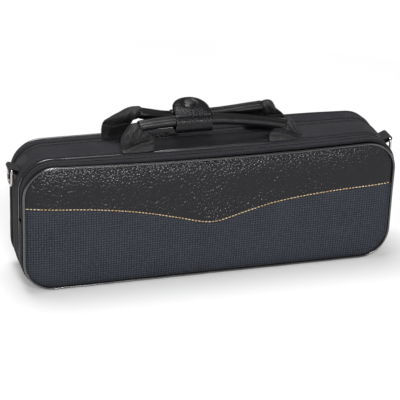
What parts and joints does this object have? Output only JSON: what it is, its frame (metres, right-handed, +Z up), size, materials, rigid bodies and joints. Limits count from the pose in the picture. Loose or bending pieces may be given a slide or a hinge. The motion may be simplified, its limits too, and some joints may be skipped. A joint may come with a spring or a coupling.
{
  "type": "flute case",
  "caption": "Soft rounded flute case with a zipped lid, a fitted tray, a piped front pocket with a wavy yoke, strap rings and carrying handles joined by a snap wrap.",
  "frame": {"origin": "on the surface the case stands on, under the middle of its bounding box", "axes": "+X along the case, seen from the pocket side to the right; -Y the pocket side, +Y the lid; +Z up towards the handles"},
  "size_m": [0.446, 0.08, 0.1931],
  "materials": {
    "band_nylon": "woven, matt",
    "panel_ripstop": "ripstop weave with a fine grid, matt",
    "yoke_leatherette": "pebbled, satin",
    "piping_vinyl": "smooth vinyl, satin sheen",
    "webbing": "ribbed webbing, matt",
    "grip_vinyl": "smooth, satin",
    "stiff_board": "matt",
    "plush": "short pile",
    "zip_tape": "twill tape, matt",
    "zip_coil": "nylon coil, satin",
    "zip_metal": "black enamel",
    "ring_metal": "nickel plate",
    "snap_metal": "black enamel"
  },
  "bodies": {
    "case_body": {"body_band": "band_nylon", "divider_board": "stiff_board", "seam_piping": "piping_vinyl", "hinge_strip": "band_nylon", "instrument_tray": "plush", "main_zip_tape": "zip_tape", "main_zip_coil": "zip_coil", "strap_tab_left": "webbing", "strap_tab_right": "webbing", "pocket_band": "band_nylon", "pocket_zip_tape": "zip_tape", "pocket_zip_coil": "zip_coil", "front_panel_lower": "panel_ripstop", "yoke_lower": "yoke_leatherette", "front_piping_lower": "piping_vinyl"},
    "pocket_flap": {"flap_band": "band_nylon", "flap_zip_tape": "zip_tape", "flap_zip_coil": "zip_coil", "front_panel_upper": "panel_ripstop", "yoke_upper": "yoke_leatherette", "front_piping_upper": "piping_vinyl"},
    "lid": {"lid_band": "band_nylon", "lid_zip_tape": "zip_tape", "lid_zip_coil": "zip_coil", "lid_hinge_strip": "band_nylon", "lid_pad": "plush", "back_panel": "panel_ripstop", "back_piping": "piping_vinyl"},
    "strap_ring_left": {"strap_ring_left": "ring_metal"},
    "strap_ring_right": {"strap_ring_right": "ring_metal"},
    "main_slider_left": {"main_slider_left": "zip_metal"},
    "main_slider_right": {"main_slider_right": "zip_metal"},
    "main_pull_left": {"main_pull_left": "zip_metal"},
    "main_pull_right": {"main_pull_right": "zip_metal"},
    "pocket_slider": {"pocket_slider": "zip_metal"},
    "pocket_pull": {"pocket_pull": "zip_metal"},
    "front_handle": {"front_grip": "grip_vinyl", "front_web_left": "webbing", "front_web_right": "webbing", "wrap_band": "yoke_leatherette"},
    "wrap_tongue": {"wrap_tongue": "yoke_leatherette", "snap_cap": "snap_metal"},
    "rear_handle": {"rear_grip": "grip_vinyl", "rear_web_left": "webbing", "rear_web_right": "webbing", "rear_cuff": "yoke_leatherette", "snap_stud": "snap_metal"}
  },
  "joints": [
    {"name": "lid_hinge", "type": "hinge", "parent": "case_body", "child": "lid", "pos_m": [0, 0.02, 0], "axis": [-1, 0, 0], "range_deg": [0, 170]},
    {"name": "flap_hinge", "type": "hinge", "parent": "case_body", "child": "pocket_flap", "pos_m": [0, -0.04, 0.083], "axis": [1, 0, 0], "range_deg": [0, 40]},
    {"name": "front_handle_fold", "type": "hinge", "parent": "case_body", "child": "front_handle", "pos_m": [0, -0.0196, 0.1504], "axis": [1, 0, 0], "range_deg": [0, 90]},
    {"name": "rear_handle_fold", "type": "hinge", "parent": "lid", "child": "rear_handle", "pos_m": [0, 0.0296, 0.1504], "axis": [-1, 0, 0], "range_deg": [0, 90]},
    {"name": "wrap_tongue_hinge", "type": "hinge", "parent": "front_handle", "child": "wrap_tongue", "pos_m": [0, -0.006, 0.1853], "axis": [1, 0, 0], "range_deg": [-15, 150]},
    {"name": "ring_left_swing", "type": "hinge", "parent": "case_body", "child": "strap_ring_left", "pos_m": [-0.21978, 0.004, 0.13302], "axis": [0, 1, 0], "range_deg": [0, 150]},
    {"name": "ring_right_swing", "type": "hinge", "parent": "case_body", "child": "strap_ring_right", "pos_m": [0.21978, 0.004, 0.13302], "axis": [0, -1, 0], "range_deg": [0, 150]},
    {"name": "slider_left_slide", "type": "slide", "parent": "case_body", "child": "main_slider_left", "axis": [1, 0, 0], "range_m": [-0.118, 0]},
    {"name": "slider_right_slide", "type": "slide", "parent": "case_body", "child": "main_slider_right", "axis": [1, 0, 0], "range_m": [0, 0.215]},
    {"name": "pull_left_hinge", "type": "hinge", "parent": "main_slider_left", "child": "main_pull_left", "pos_m": [-0.0564, 0.02, 0.15195], "axis": [0, 1, 0], "range_deg": [0, 95]},
    {"name": "pull_right_hinge", "type": "hinge", "parent": "main_slider_right", "child": "main_pull_right", "pos_m": [-0.0406, 0.02, 0.15195], "axis": [0, -1, 0], "range_deg": [0, 95]},
    {"name": "pocket_slider_slide", "type": "slide", "parent": "case_body", "child": "pocket_slider", "axis": [0, 0, 1], "range_m": [0, 0.018]},
    {"name": "pocket_pull_hinge", "type": "hinge", "parent": "pocket_slider", "child": "pocket_pull", "pos_m": [0.21695, -0.02755, 0.0886], "axis": [0, -1, 0], "range_deg": [0, 95]}
  ]
}
